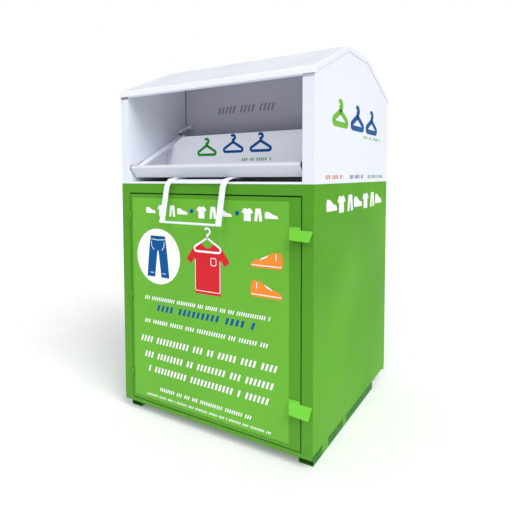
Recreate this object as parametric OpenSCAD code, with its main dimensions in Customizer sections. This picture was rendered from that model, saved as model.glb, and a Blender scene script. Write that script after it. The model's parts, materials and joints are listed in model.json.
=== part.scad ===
// Clothing donation bin: a sheet-steel cabinet on two skids, with a hinged and
// locked front door, a hipped hood, and a tilting hopper that a bag is laid in.
// X runs to the right, Y to the back and Z up. The origin is on the ground, in
// the middle of the whole footprint. Inside the modules, y is the depth behind
// the cabinet's front face.

/* [Cabinet] */
// Width over the side panels
body_w = 1160; // [1000:10:1400]
// Depth from the front face to the back face
body_d = 1200; // [1050:10:1500]
// Height of the cabinet's top edge above the ground
cabinet_top = 1295; // [1200:5:1400]
// Thickness of all the sheet steel
sheet_t = 2; // [1.5:0.5:4]
// Width of the front posts beside the door and the chute
post_w = 57; // [50:1:70]
// Height of the header over the door
header_h = 52; // [35:1:80]
// Height of the rail under the door, above the floor sheet
rail_h = 18; // [12:1:40]
// Height of the side panels' lower edges above the skids
side_up = 22; // [12:1:30]
// Width of the flanges that join the cabinet to the hood
seam_w = 25; // [20:1:30]
// Number of bolts along each side seam
seam_bolt_count = 5; // [3:1:8]
// Diameter of the seam bolts
seam_bolt_d = 8; // [6:1:10]

/* [Skids] */
// Height of the skids
skid_h = 50; // [40:5:100]
// Width of the skids
skid_w = 74; // [50:1:90]
// Length of the skids
skid_l = 935; // [850:5:980]
// Distance of the skids behind the front face
skid_front = 40; // [20:5:60]
// Distance of the skids' outer faces inside the side panels
skid_in = 13; // [5:1:30]
// Wall of the skid tubes
skid_wall = 3; // [2:0.5:6]
// Height of the cross members between the skids
cross_h = 25; // [20:1:35]
// Width of the cross members
cross_w = 60; // [40:5:80]
// Depths of the cross members behind the front face
cross_at = [180, 455, 880]; // [100:1:900]
// Lengths of the plates on the skids' outer faces
plate_l = [80, 50]; // [40:5:120]

/* [Door] */
// Gap round the door
door_gap = 6; // [4:0.5:8]
// Depth of the door with its inner frame
door_t = 35; // [28:1:40]
// Width of the tubes of the door's inner frame
door_tube_w = 30; // [25:1:35]
// Wall of the door's tubes
door_tube_wall = 2; // [1.5:0.5:3]
// Number of cross tubes in the door
door_rail_count = 4; // [3:1:6]
// Thickness of the rubber seal behind the door
seal_t = 2.5; // [1.5:0.5:5]
// Free gap between the shut door and its seal
seal_gap = 0.5; // [0.3:0.1:1]
// Width of the stop strips behind the door
stop_w = 20; // [16:1:26]
// Thickness of the printed sign sheet
sign_t = 1.5; // [1:0.5:3]
// Sign margin at the hinge side of the door
sign_left = 17; // [12:1:60]
// Sign margin at the top and the bottom of the door
sign_end = 20; // [15:1:60]

/* [Hinges and locks] */
// Diameter of the hinge knuckles
knuckle_d = 10; // [9:0.5:14]
// Length of each hinge knuckle
knuckle_l = 35; // [25:1:60]
// Diameter of the hinge pins
hinge_pin_d = 5; // [4:0.5:6]
// Distance of the outer hinges from the door's ends
hinge_in = 130; // [80:5:250]
// Running clearance round pins and lock plugs, on the radius
run_gap = 0.05; // [0.02:0.01:0.09]
// Distance of the upper lock below the door's top edge
lock_high_in = 173; // [100:1:300]
// Distance of the lower lock above the door's bottom edge
lock_low_in = 196; // [120:1:300]
// Diameter of a lock plug
plug_d = 12; // [10:0.5:14]
// Diameter of a lock's body
lock_d = 20; // [18:0.5:22]
// Width of a lock cam
cam_w = 16; // [14:1:20]
// Thickness of a lock cam
cam_t = 4; // [3:0.5:6]
// How far a lock hood stands out
hood_out = 38; // [25:1:45]
// Drop of a lock hood's sloping face
hood_drop = 38; // [30:1:50]
// How far the sloping face is cut back at its lower left corner
hood_side_in = 19; // [0:1:30]
// Height of a lock hood's mounting flange
hood_flange = 17; // [12:1:25]

/* [Hood] */
// Height of the hood's front posts, from the seam to the roof's lip
hood_h = 480; // [470:5:600]
// Height of the roof's folded front and rear lips
roof_lip = 30; // [25:1:45]
// Rise of the roof from its lips to the flat top
roof_rise = 180; // [110:1:200]
// Length of the roof's flat top, front to back
roof_flat = 328; // [200:1:400]
// Overhang of the roof in front
over_front = 5; // [4:1:20]
// Overhang of the roof behind
over_back = 12; // [8:1:20]
// How much higher the rear lip stands than the front lip
back_up = 20; // [0:1:30]
// Width of the roof's side flanges
roof_flange = 25; // [18:1:35]
// Gap between the roof's flanges and the side panels
lap_gap = 0.3; // [0.3:0.1:1]
// How far the lintel shows under the roof's lip
lintel_drop = 3; // [2:1:24]
// Gap between the front posts' tops and the roof's lip
post_gap = 14; // [6:1:18]
// Width of the folds on the lintel, the shelf and the baffle
fold_w = 20; // [12:1:24]

/* [Chute] */
// Height of the sill's front strip
sill_h = 10; // [8:1:18]
// Depth of the shelf behind the front face
shelf_d = 290; // [240:1:295]
// Depth of the baffle panel behind the front face
baffle_at = 518; // [514:1:560]
// Height of the baffle's bottom edge above the sill
baffle_up = 270; // [255:1:274]

/* [Hopper] */
// Gap between the hopper's ends and the recess walls
hopper_gap = 6; // [5:0.5:8]
// Height of the hopper's floor above the sill
floor_up = 23; // [17:0.5:24]
// How far the lip's top edge lies behind the front face
lip_in = 4; // [2:1:10]
// How far the lip leans out over its foot
lip_lean = 44; // [30:1:50]
// Height of the lip's face
lip_h = 52; // [40:1:60]
// Height of the fold along the lip's top
fold_h = 15; // [10:1:18]
// Depth of the fold along the lip's top
fold_d = 10; // [6:1:14]
// Depth of the hopper's back panel behind the front face
back_at = 316; // [312:1:330]
// Height of the hopper's back panel
back_h = 242; // [230:1:250]
// Slope of the cut top corners of the back panel
corner_slope = 0.65; // [0.5:0.05:1]
// Depth of the side plates' rear tip behind the front face
tip_at = 445; // [430:1:450]
// Height of the side plates' rear tip above the hopper's floor
tip_up = 266; // [255:1:268]
// Width of the side plates' top flanges
flange_w = 48; // [30:1:60]
// Height of the pivot above the hopper's floor
pivot_up = 32; // [28:1:36]
// Diameter of the pivot pins
pivot_d = 20; // [16:1:24]
// Diameter of the rubber bumpers that the hopper rests on
bumper_d = 16; // [12:1:20]
// Height of those bumpers
bumper_h = 10; // [6:1:14]
// Diameter of the rods that hold the bumpers
stop_rod_d = 20; // [8:1:22]

/* [Handle] */
// Offset of the handle's middle from the bin's middle
handle_x = -45; // [-120:1:120]
// Width over the handle's arms
handle_w = 380; // [250:5:500]
// Width of the strip that the arms are made of
arm_w = 32; // [25:1:40]
// Thickness of that strip
arm_t = 6; // [5:0.5:7]
// How far the handle's grip stands out from the front face
handle_out = 80; // [70:1:84]
// Height of the handle's grip below the hopper's floor
handle_drop = 228; // [200:1:232]
// Diameter of the grip bar
grip_d = 12; // [10:0.5:14]
// Height of the handle's flat upper bar
upper_bar_h = 20; // [14:1:24]
// Thickness of the handle's flat upper bar
upper_bar_t = 5; // [4:0.5:7]
// Diameter of the bolts that hold the handle
arm_bolt_d = 8; // [6:0.5:10]

/* [Hidden] */
$fn = 48;

frame_green = [0.36, 0.63, 0.20];
side_green = [0.44, 0.71, 0.27];
sign_green = [0.43, 0.71, 0.24];
skid_green = [0.20, 0.52, 0.26];
white = [0.93, 0.95, 0.97];
tray_white = [0.80, 0.81, 0.86];
recess_grey = [0.55, 0.55, 0.60];
zinc = [0.70, 0.71, 0.73];
brass = [0.78, 0.66, 0.38];
rubber = [0.10, 0.10, 0.11];

// Extra length of a cutting piece, so that it passes right through.
through = 1;

// The footprint runs from the handle's grip to the roof's rear lip.
grip_front = handle_out + grip_d / 2;
roof_rear = body_d + over_back + sheet_t;
front_y = -(roof_rear - grip_front) / 2;

// Height of the plates' lower edges on the skids.
plate_foot = 10;

// Half widths, measured from the middle plane.
half_w = body_w / 2;
inner_w = half_w - sheet_t;
open_w = half_w - post_w;
door_w = open_w - door_gap;
hopper_w = open_w - hopper_gap;
plate_w = hopper_w - sheet_t;
skid_outer = half_w - skid_in;

// Heights of the cabinet's front, from the bottom up.
floor_top = skid_h + sheet_t;
side_bottom = skid_h + side_up;
rail_top = floor_top + rail_h;
door_bottom = rail_top + door_gap;
opening_top = cabinet_top - header_h;
door_top = opening_top - door_gap;

// The returns round the opening are as deep as the door with its seal.
return_d = door_t + seal_gap + seal_t;
rail_pitch = (door_top - door_bottom - door_tube_w) / (door_rail_count - 1);
seal_w = stop_w - sheet_t - door_gap;

// The hinge axis stands in front of the gap at the door's left edge.
hinge_x = -open_w + door_gap / 2;
hinge_y = -knuckle_d / 2;
hinge_heights = [door_bottom + hinge_in, (door_bottom + door_top) / 2, door_top - hinge_in];
knuckle_gap = 0.3;
leaf_w = 10;
leaf_t = 4;
pin_head_d = 8;
pin_head_h = 2;

// The locks stand beside the door's right tube.
lock_heights = [door_bottom + lock_low_in, door_top - lock_high_in];
lock_nut_d = lock_d + 6;
lock_nut_t = 4;
lock_rim_d = lock_d + 2;
lock_rim_t = 3;
lock_play = 1;
lock_x = door_w - door_tube_w - lock_nut_d / 2 - lock_play;
cam_y = return_d + sheet_t + lock_play;
cam_l = open_w - lock_x - lock_play;
cam_square = 7;
cam_screw_d = 11;
cam_screw_t = 3;
key_slot = [2, 7];
key_depth = 2;

// A lock hood reaches from the sign's edge across the right post.
sign_right = door_tube_w + lock_nut_d;
hood_left = door_w - sign_right;
hood_in = 3;
hood_right = inner_w - hood_in;
hood_rise = 40;
hood_gap = 1;
hood_taper = [0, -4];
hood_shoulder = 3;

// Roof: depths and heights of the underside's corners.
lip_bottom = cabinet_top + hood_h;
eave_z = lip_bottom + roof_lip - sheet_t;
ridge_z = eave_z + roof_rise;
ridge_front = (body_d - roof_flat) / 2;
ridge_back = ridge_front + roof_flat;
slope_front = roof_rise / (ridge_front + over_front);
slope_back = (roof_rise - back_up) / (body_d + over_back - ridge_back);
roof_section = [
    [-over_front, lip_bottom],
    [-over_front, eave_z],
    [ridge_front, ridge_z],
    [ridge_back, ridge_z],
    [body_d + over_back, eave_z + back_up],
    [body_d + over_back, lip_bottom + back_up]
];

// Chute recess.
sill_top = cabinet_top + sill_h;
lintel_bottom = lip_bottom - lintel_drop;
baffle_bottom = sill_top + baffle_up;

// Hopper: depths and heights of the outline's corners.
hopper_z = sill_top + floor_up;
foot_fold = 22;
flange_from = 42;
side_foot = 16;
back_gap = 2;
lip_foot = [lip_in + lip_lean, hopper_z];
lip_top = [lip_in, hopper_z + lip_h];
fold_top = lip_top + [fold_d, fold_h];
flange_foot = fold_top + [flange_from, 0];
floor_front = lip_foot[0] + foot_fold;
back_top = hopper_z + back_h;
back_foot = back_at + sheet_t + side_foot;
tip = [tip_at, hopper_z + tip_up];
flange_slope = (tip[1] - flange_foot[1]) / (tip[0] - flange_foot[0]);

// Pivot: the pin turns in a bush with a flange behind the recess wall.
pivot = [back_at, hopper_z + pivot_up];
washer_d = pivot_d + 16;
washer_t = 3;
bush_d = pivot_d + 12;
bush_l = 24;
bush_rim_d = pivot_d + 32;
bush_rim_t = 6;
collar_t = 6;
collar_gap = 0.5;
bush_end = open_w + bush_l;

// Rest stops: a rod from a pad on the baffle to a bumper over a side plate's tip.
bumper_x = plate_w - bumper_d / 2 - 1;
bumper_y = tip[0] - bumper_d / 4;
bumper_gap = 0.5;
bumper_z = tip[1] + bumper_gap;
holder_t = 3;
holder_d = bumper_d + 2;
pad_in = 32;
pad_up = 54;
pad_x = plate_w - pad_in;
pad_z = tip[1] + pad_up;
pad_size = [40, stop_rod_d / 2 + 2, 36];

// Handle: the middle line of an arm, from under the hopper down to the grip.
arm_z = hopper_z - arm_t / 2;
arm_lap = 40;
arm_knee = 8;
arm_shoulder = 38;
arm_fall = [9, 41];
arm_line = [
    [floor_front + arm_lap, arm_z],
    [lip_foot[0] - arm_knee, arm_z],
    [-arm_knee, arm_z - arm_fall[0]],
    [-arm_shoulder, arm_z - arm_fall[1]],
    [-handle_out, hopper_z - handle_drop]
];
arm_left = handle_x - handle_w / 2;
arm_right = handle_x + handle_w / 2 - arm_w;
arm_bolts_y = [for (y = [12, 30]) floor_front + y];
arm_bolts_x = [arm_left + arm_w / 2, arm_right + arm_w / 2];
head_ratio = 1.75;
bolt_head_d = arm_bolt_d * head_ratio;
bolt_head_h = arm_bolt_d / 2;
bar_lap = 1;

// ---- Helpers ----

function unit(v) = v / norm(v);
function left_of(v) = [-v[1], v[0]];

// Mitred offset direction at point i of a path, to the left of its travel.
function mitre(path, i) =
    let (
        last = len(path) - 1,
        before = left_of(unit(path[max(i, 1)] - path[max(i, 1) - 1])),
        after = left_of(unit(path[min(i, last - 1) + 1] - path[min(i, last - 1)]))
    )
    (before + after) / (1 + before * after);

// Outline of a bent sheet whose faces lie at offsets a and b to the left of the path.
function bent(path, a, b) = concat(
    [for (i = [0 : len(path) - 1]) path[i] + a * mitre(path, i)],
    [for (i = [len(path) - 1 : -1 : 0]) path[i] + b * mitre(path, i)]
);

// Height of the roof's underside at a depth behind the front face.
function roof_z(y) = min(
    ridge_z,
    eave_z + slope_front * (y + over_front),
    eave_z + back_up + slope_back * (body_d + over_back - y)
);

// Height of the underside of the side plates' flanges at a depth.
function flange_z(y) =
    flange_foot[1] + flange_slope * (y - flange_foot[0]) - sheet_t * norm([1, flange_slope]);

// Puts y = 0 on the cabinet's front face.
module front() translate([0, front_y, 0]) children();

// Draws for the left side (-1) what its children draw for the right side (1).
module on_side(side) if (side < 0) mirror([1, 0, 0]) children(); else children();

// Extrudes a depth-height outline along X.
module along_x(x0, x1) translate([x0, 0, 0]) rotate([90, 0, 90]) linear_extrude(x1 - x0) children();

// Extrudes a width-height outline along Y.
module along_y(y0, y1) translate([0, y1, 0]) rotate([90, 0, 0]) linear_extrude(y1 - y0) children();

// Extrudes a width-depth outline along Z.
module along_z(z0, z1) translate([0, 0, z0]) linear_extrude(z1 - z0) children();

// A block between its lowest and its highest corner.
module block(low, high) translate(low) cube(high - low);

// A rod along X, and one along Y.
module rod_x(x0, x1, y, z, d) translate([x0, y, z]) rotate([0, 90, 0]) cylinder(d = d, h = x1 - x0);
module rod_y(y0, y1, x, z, d) translate([x, y1, z]) rotate([90, 0, 0]) cylinder(d = d, h = y1 - y0);

// A rod between two points.
module rod(p, q, d) {
    v = q - p;
    translate(p) rotate([0, acos(v[2] / norm(v)), atan2(v[1], v[0])]) cylinder(d = d, h = norm(v));
}

// A rectangular tube between two corners, open along one axis (0, 1 or 2).
module tube(low, high, wall, axis) {
    inset = [for (k = [0 : 2]) k == axis ? -through : wall];
    difference() {
        block(low, high);
        block(low + inset, high - inset);
    }
}

// ---- Skids and floor ----

module skid(side) color(skid_green) front() on_side(side)
    tube(
        [skid_outer - skid_w, skid_front, 0],
        [skid_outer, skid_front + skid_l, skid_h],
        skid_wall, 1
    );
module skid_left() skid(-1);
module skid_right() skid(1);

// Plates that tie the skids to the side panels' lower edges.
module skid_plates() color(side_green) front()
    for (side = [-1, 1], i = [0 : len(plate_l) - 1])
        on_side(side) block(
            [skid_outer, cross_at[i] - plate_l[i] / 2, plate_foot],
            [skid_outer + sheet_t, cross_at[i] + plate_l[i] / 2, side_bottom]
        );

module cross_members() color(skid_green) front()
    for (y = cross_at)
        tube(
            [skid_w - skid_outer, y - cross_w / 2, skid_h - cross_h],
            [skid_outer - skid_w, y + cross_w / 2, skid_h],
            skid_wall, 0
        );

// The floor sheet has its sides folded up to the side panels' lower edges.
module floor_pan() color(skid_green) front()
    along_y(sheet_t, body_d - sheet_t)
        polygon(bent([
            [-skid_outer, side_bottom],
            [-skid_outer, skid_h],
            [skid_outer, skid_h],
            [skid_outer, side_bottom]
        ], 0, sheet_t));

// ---- Cabinet shell ----

// Draws its children at each bolt of the right-hand seam, on the seam's plane.
module at_seam_bolts()
    for (i = [0 : seam_bolt_count - 1])
        translate([inner_w - seam_w / 2, body_d * (i + 0.5) / seam_bolt_count, cabinet_top]) children();

// A seam flange of the right-hand side, between two heights, with its bolt holes.
module seam_flange(z0, z1) difference() {
    block([inner_w - seam_w, sheet_t, z0], [inner_w, body_d - sheet_t, z1]);
    at_seam_bolts() cylinder(d = seam_bolt_d, h = 4 * sheet_t, center = true);
}

// A side panel is folded inwards at its foot, over the floor's rim.
module lower_side(side) color(side_green) front() on_side(side) {
    block([inner_w, 0, side_bottom], [half_w, body_d, cabinet_top]);
    block(
        [skid_outer - sheet_t, sheet_t, side_bottom],
        [inner_w, body_d - sheet_t, side_bottom + sheet_t]
    );
    seam_flange(cabinet_top - sheet_t, cabinet_top);
}
module lower_side_left() lower_side(-1);
module lower_side_right() lower_side(1);

module lower_back() color(side_green) front()
    block([-inner_w, body_d - sheet_t, skid_h], [inner_w, body_d, cabinet_top]);

// A front post: a face with a return along the door opening, over the floor's edge.
module post(side) color(frame_green) front() on_side(side) {
    along_z(floor_top, cabinet_top)
        polygon(bent([[open_w, return_d], [open_w, 0], [inner_w, 0]], 0, sheet_t));
    block([open_w, 0, skid_h], [inner_w, sheet_t, floor_top]);
}
module post_left() post(-1);
module post_right() post(1);

module header() color(frame_green) front()
    along_x(-open_w, open_w)
        polygon(bent(
            [[seam_w, cabinet_top], [0, cabinet_top], [0, opening_top], [return_d, opening_top]],
            0, sheet_t
        ));

module bottom_rail() color(frame_green) front()
    along_x(-open_w, open_w)
        polygon(bent([[0, skid_h], [0, rail_top], [return_d, rail_top]], -sheet_t, 0));

// A flat frame round the door opening, w wide inside an outline of half width x.
module opening_frame(x, z0, z1, w) difference() {
    translate([-x, z0]) square([2 * x, z1 - z0]);
    translate([w - x, z0 + w]) square([2 * (x - w), z1 - z0 - 2 * w]);
}

module door_stops() color(frame_green) front()
    along_y(return_d, return_d + sheet_t)
        opening_frame(open_w + sheet_t, rail_top - sheet_t, opening_top + sheet_t, stop_w);

module door_seal() color(rubber) front()
    along_y(return_d - seal_t, return_d)
        opening_frame(door_w, door_bottom, door_top, seal_w);

// ---- Hinges ----

module at_hinges() front()
    for (z = hinge_heights)
        translate([hinge_x, hinge_y, z]) children();

// A knuckle between two heights, with a welded leaf to the left (-1) or right (1).
module knuckle(z0, z1, side, bore) difference() {
    union() {
        translate([0, 0, z0]) cylinder(d = knuckle_d, h = z1 - z0);
        on_side(side) block([0, -hinge_y - leaf_t, z0], [door_gap / 2 + leaf_w, -hinge_y, z1]);
    }
    translate([0, 0, z0 - through]) cylinder(d = bore, h = z1 - z0 + 2 * through);
}

module hinge_knuckles_frame() color(frame_green) at_hinges()
    knuckle(-knuckle_l, 0, -1, hinge_pin_d);

module hinge_knuckles_door() color(frame_green) at_hinges()
    knuckle(knuckle_gap, knuckle_l, 1, hinge_pin_d + 2 * run_gap);

module hinge_pins() color(zinc) at_hinges() {
    translate([0, 0, -knuckle_l]) cylinder(d = hinge_pin_d, h = 2 * knuckle_l + knuckle_gap);
    translate([0, 0, knuckle_l + knuckle_gap]) cylinder(d = pin_head_d, h = pin_head_h);
}

// ---- Door ----

module door_skin() color(frame_green) front() difference() {
    block([-door_w, 0, door_bottom], [door_w, sheet_t, door_top]);
    for (z = lock_heights)
        rod_y(-through, sheet_t + through, lock_x, z, lock_d);
}

module door_tube(side) color(frame_green) front() on_side(side)
    tube([door_w - door_tube_w, sheet_t, door_bottom], [door_w, door_t, door_top], door_tube_wall, 2);
module door_tube_left() door_tube(-1);
module door_tube_right() door_tube(1);

module door_rails() color(frame_green) front()
    for (i = [0 : door_rail_count - 1])
        let (z = door_bottom + i * rail_pitch)
            tube(
                [door_tube_w - door_w, sheet_t, z],
                [door_w - door_tube_w, door_t, z + door_tube_w],
                door_tube_wall, 0
            );

module door_sign() color(sign_green) front()
    block(
        [sign_left - door_w, -sign_t, door_bottom + sign_end],
        [hood_left, 0, door_top - sign_end]
    );

// ---- Locks ----

// A sloping cover over a lock, on a pad that clears the post beside the door.
module lock_hood(z) color(frame_green) front() {
    top = z + hood_rise;
    knee = top - hood_flange;
    line = [
        [-hood_gap, top],
        [-hood_gap, knee],
        [-hood_gap - 2 * hood_out, knee - 2 * hood_drop]
    ];
    block([hood_left, -hood_gap, knee], [door_w, 0, top]);
    intersection() {
        along_x(hood_left, hood_right) polygon(bent(line, 0, -sheet_t));
        along_y(-2 * hood_out, 0) polygon([
            [hood_left, top],
            [door_w, top],
            [door_w, knee + hood_shoulder],
            [hood_right, knee + hood_shoulder],
            [hood_right, knee - hood_drop + hood_taper[1]],
            [hood_left + hood_side_in, knee - hood_drop + hood_taper[0]],
            [hood_left, knee]
        ]);
    }
}
module lock_hood_lower() lock_hood(lock_heights[0]);
module lock_hood_upper() lock_hood(lock_heights[1]);

module lock_body(z) color(zinc) front() difference() {
    union() {
        rod_y(-lock_rim_t, 0, lock_x, z, lock_rim_d);
        rod_y(-lock_rim_t, cam_y - knuckle_gap, lock_x, z, lock_d);
        rod_y(sheet_t, sheet_t + lock_nut_t, lock_x, z, lock_nut_d);
    }
    rod_y(-lock_rim_t - through, cam_y + through, lock_x, z, plug_d + 2 * run_gap);
}
module lock_body_lower() lock_body(lock_heights[0]);
module lock_body_upper() lock_body(lock_heights[1]);

module lock_plug(z) color(brass) front() {
    difference() {
        rod_y(-lock_rim_t, cam_y, lock_x, z, plug_d);
        translate([lock_x, -lock_rim_t, z])
            cube([key_slot[0], 2 * key_depth, key_slot[1]], center = true);
    }
    translate([lock_x, cam_y + cam_t / 2, z]) cube([cam_square, cam_t, cam_square], center = true);
    rod_y(cam_y + cam_t, cam_y + cam_t + cam_screw_t, lock_x, z, cam_screw_d);
}
module lock_plug_lower() lock_plug(lock_heights[0]);
module lock_plug_upper() lock_plug(lock_heights[1]);

// A cam hangs down when it is unlocked, and points behind the stop when it is locked.
module lock_cam(z) color(zinc) front()
    along_y(cam_y, cam_y + cam_t) translate([lock_x, z]) difference() {
        union() {
            circle(d = cam_w);
            translate([-cam_w / 2, -cam_l]) square([cam_w, cam_l]);
        }
        square(cam_square, center = true);
    }
module lock_cam_lower() lock_cam(lock_heights[0]);
module lock_cam_upper() lock_cam(lock_heights[1]);

// ---- Hood ----

module hood_side(side) color(white) front() on_side(side) {
    along_x(inner_w, half_w) polygon([
        [0, cabinet_top],
        [body_d, cabinet_top],
        [body_d, roof_z(body_d)],
        [ridge_back, ridge_z],
        [ridge_front, ridge_z],
        [0, roof_z(0)]
    ]);
    seam_flange(cabinet_top, cabinet_top + sheet_t);
}
module hood_side_left() hood_side(-1);
module hood_side_right() hood_side(1);

module hood_back() color(white) front()
    block([-inner_w, body_d - sheet_t, cabinet_top], [inner_w, body_d, roof_z(body_d)]);

module roof() color(white) front() {
    edge = half_w + lap_gap;
    along_x(-edge - sheet_t, edge + sheet_t) polygon(bent(roof_section, 0, sheet_t));
    for (side = [-1, 1])
        on_side(side) along_x(edge, edge + sheet_t) polygon(bent(roof_section, -roof_flange, 0));
}

module hood_post(side) color(white) front() on_side(side)
    block([open_w, 0, cabinet_top], [inner_w, sheet_t, lip_bottom - post_gap]);
module hood_post_left() hood_post(-1);
module hood_post_right() hood_post(1);

module lintel() color(white) front()
    along_x(-open_w, open_w)
        polygon(bent([[0, roof_z(0)], [0, lintel_bottom], [fold_w, lintel_bottom]], 0, sheet_t));

module sill_shelf() color(white) front()
    along_x(-open_w, open_w)
        polygon(bent(
            [[0, cabinet_top], [0, sill_top], [shelf_d, sill_top], [shelf_d, sill_top - fold_w]],
            -sheet_t, 0
        ));

module recess_wall(side) color(recess_grey) front() on_side(side) difference() {
    along_x(open_w, open_w + sheet_t) polygon([
        [sheet_t, cabinet_top],
        [baffle_at + sheet_t, cabinet_top],
        [baffle_at + sheet_t, roof_z(baffle_at + sheet_t)],
        [min(ridge_front, baffle_at), roof_z(min(ridge_front, baffle_at))],
        [sheet_t, roof_z(sheet_t)]
    ]);
    rod_x(open_w - through, open_w + sheet_t + through, pivot[0], pivot[1], bush_d);
}
module recess_wall_left() recess_wall(-1);
module recess_wall_right() recess_wall(1);

module baffle() color(recess_grey) front()
    along_x(-open_w, open_w)
        polygon(bent(
            [[baffle_at, roof_z(baffle_at)], [baffle_at, baffle_bottom], [baffle_at + fold_w, baffle_bottom]],
            0, sheet_t
        ));

module seam_bolts() color(zinc) front()
    let (head_h = seam_bolt_d / 2) for (side = [-1, 1])
        on_side(side) at_seam_bolts() {
            cylinder(d = seam_bolt_d, h = 2 * sheet_t, center = true);
            for (z = [sheet_t, -sheet_t - head_h])
                translate([0, 0, z]) cylinder(d = seam_bolt_d * head_ratio, h = head_h);
        }

// ---- Hopper bearings and stops ----

module pivot_bush(side) color(zinc) front() on_side(side) difference() {
    union() {
        rod_x(open_w, bush_end, pivot[0], pivot[1], bush_d);
        rod_x(open_w + sheet_t, open_w + sheet_t + bush_rim_t, pivot[0], pivot[1], bush_rim_d);
    }
    rod_x(open_w - through, bush_end + through, pivot[0], pivot[1], pivot_d + 2 * run_gap);
}
module pivot_bush_left() pivot_bush(-1);
module pivot_bush_right() pivot_bush(1);

module rest_stop(side) color(recess_grey) front() on_side(side) {
    holder = [bumper_x, bumper_y, bumper_z + bumper_h];
    elbow = holder + [0, 0, holder_t + stop_rod_d / 2];
    translate(holder) cylinder(d = holder_d, h = holder_t);
    translate(elbow) sphere(d = stop_rod_d + 2);
    rod(elbow, [pad_x, baffle_at - pad_size[1] / 2, pad_z], stop_rod_d);
    translate([pad_x - pad_size[0] / 2, baffle_at - pad_size[1], pad_z - pad_size[2] / 2]) cube(pad_size);
}
module rest_stop_left() rest_stop(-1);
module rest_stop_right() rest_stop(1);

module stop_bumpers() color(rubber) front()
    for (side = [-1, 1])
        on_side(side) translate([bumper_x, bumper_y, bumper_z]) cylinder(d = bumper_d, h = bumper_h);

// ---- Hopper ----

module hopper_lip() color(tray_white) front()
    along_x(-plate_w, plate_w)
        polygon(bent([[floor_front, hopper_z], lip_foot, lip_top, fold_top], -sheet_t, 0));

// Holes for the handle's bolts, drawn right through whatever lies there.
module arm_bolt_holes()
    for (x = arm_bolts_x, y = arm_bolts_y)
        translate([x, y, hopper_z]) cylinder(d = arm_bolt_d, h = 4 * arm_t, center = true);

module hopper_floor() color(tray_white) front() difference() {
    block([-plate_w, floor_front, hopper_z], [plate_w, back_at, hopper_z + sheet_t]);
    arm_bolt_holes();
}

// The back panel's top corners are cut to pass under the side plates' flanges.
module hopper_back() color(tray_white) front() {
    knee_x = plate_w - flange_w - back_gap;
    knee_z = flange_z(back_at) - back_gap;
    low = knee_z - corner_slope * (plate_w - knee_x);
    top_x = knee_x - (back_top - knee_z) / corner_slope;
    along_y(back_at, back_at + sheet_t) polygon([
        [-plate_w, hopper_z],
        [plate_w, hopper_z],
        [plate_w, low],
        [top_x, back_top],
        [-top_x, back_top],
        [-plate_w, low]
    ]);
}

module hopper_side(side) color(tray_white) front() on_side(side) {
    difference() {
        along_x(plate_w, hopper_w)
            polygon([lip_foot, lip_top, fold_top, flange_foot, tip, [back_foot, hopper_z]]);
        rod_x(plate_w - through, hopper_w + through, pivot[0], pivot[1], pivot_d);
    }
    along_x(plate_w - flange_w, plate_w) polygon(bent([flange_foot, tip], -sheet_t, 0));
}
module hopper_side_left() hopper_side(-1);
module hopper_side_right() hopper_side(1);

module pivot_pin(side) color(zinc) front() on_side(side)
    rod_x(plate_w, bush_end + collar_gap + collar_t, pivot[0], pivot[1], pivot_d);
module pivot_pin_left() pivot_pin(-1);
module pivot_pin_right() pivot_pin(1);

// A washer beside each side plate, and a collar on each pin's outer end.
module pivot_washers() color(zinc) front()
    for (side = [-1, 1])
        on_side(side) difference() {
            union() {
                rod_x(hopper_w, hopper_w + washer_t, pivot[0], pivot[1], washer_d);
                rod_x(bush_end + collar_gap, bush_end + collar_gap + collar_t, pivot[0], pivot[1], bush_d);
            }
            rod_x(hopper_w - through, bush_end + 2 * collar_t, pivot[0], pivot[1], pivot_d);
        }

// ---- Handle ----

module grip_rod() rod_x(arm_left, arm_right + arm_w, -handle_out, hopper_z - handle_drop, grip_d);

// An arm is a bent strip that is bolted under the hopper and welded to the grip.
module handle_arm(x) color(white) front() difference() {
    along_x(x, x + arm_w) polygon(bent(arm_line, -arm_t / 2, arm_t / 2));
    grip_rod();
    arm_bolt_holes();
}
module handle_arm_left() handle_arm(arm_left);
module handle_arm_right() handle_arm(arm_right);

module handle_upper_bar() color(white) front() {
    corner = arm_line[2];
    block(
        [arm_left + arm_w, corner[0] - bar_lap - upper_bar_t, corner[1] + bar_lap - upper_bar_h],
        [arm_right, corner[0] - bar_lap, corner[1] + bar_lap]
    );
}

module handle_grip() color(white) front() grip_rod();

module handle_bolts() color(zinc) front()
    for (x = arm_bolts_x, y = arm_bolts_y)
        translate([x, y, hopper_z]) {
            translate([0, 0, -arm_t]) cylinder(d = arm_bolt_d, h = arm_t + sheet_t);
            translate([0, 0, -arm_t - bolt_head_h]) cylinder(d = bolt_head_d, h = bolt_head_h, $fn = 6);
            translate([0, 0, sheet_t]) cylinder(d = bolt_head_d, h = bolt_head_h);
        }

skid_left();
skid_right();
skid_plates();
cross_members();
floor_pan();
lower_side_left();
lower_side_right();
lower_back();
post_left();
post_right();
header();
bottom_rail();
door_stops();
door_seal();
hinge_knuckles_frame();
hinge_pins();
hinge_knuckles_door();
door_skin();
door_tube_left();
door_tube_right();
door_rails();
door_sign();
lock_hood_lower();
lock_hood_upper();
lock_body_lower();
lock_body_upper();
lock_plug_lower();
lock_plug_upper();
lock_cam_lower();
lock_cam_upper();
hood_side_left();
hood_side_right();
hood_back();
roof();
hood_post_left();
hood_post_right();
lintel();
sill_shelf();
recess_wall_left();
recess_wall_right();
baffle();
seam_bolts();
pivot_bush_left();
pivot_bush_right();
rest_stop_left();
rest_stop_right();
stop_bumpers();
hopper_lip();
hopper_floor();
hopper_back();
hopper_side_left();
hopper_side_right();
pivot_pin_left();
pivot_pin_right();
pivot_washers();
handle_arm_left();
handle_arm_right();
handle_upper_bar();
handle_grip();
handle_bolts();
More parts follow.
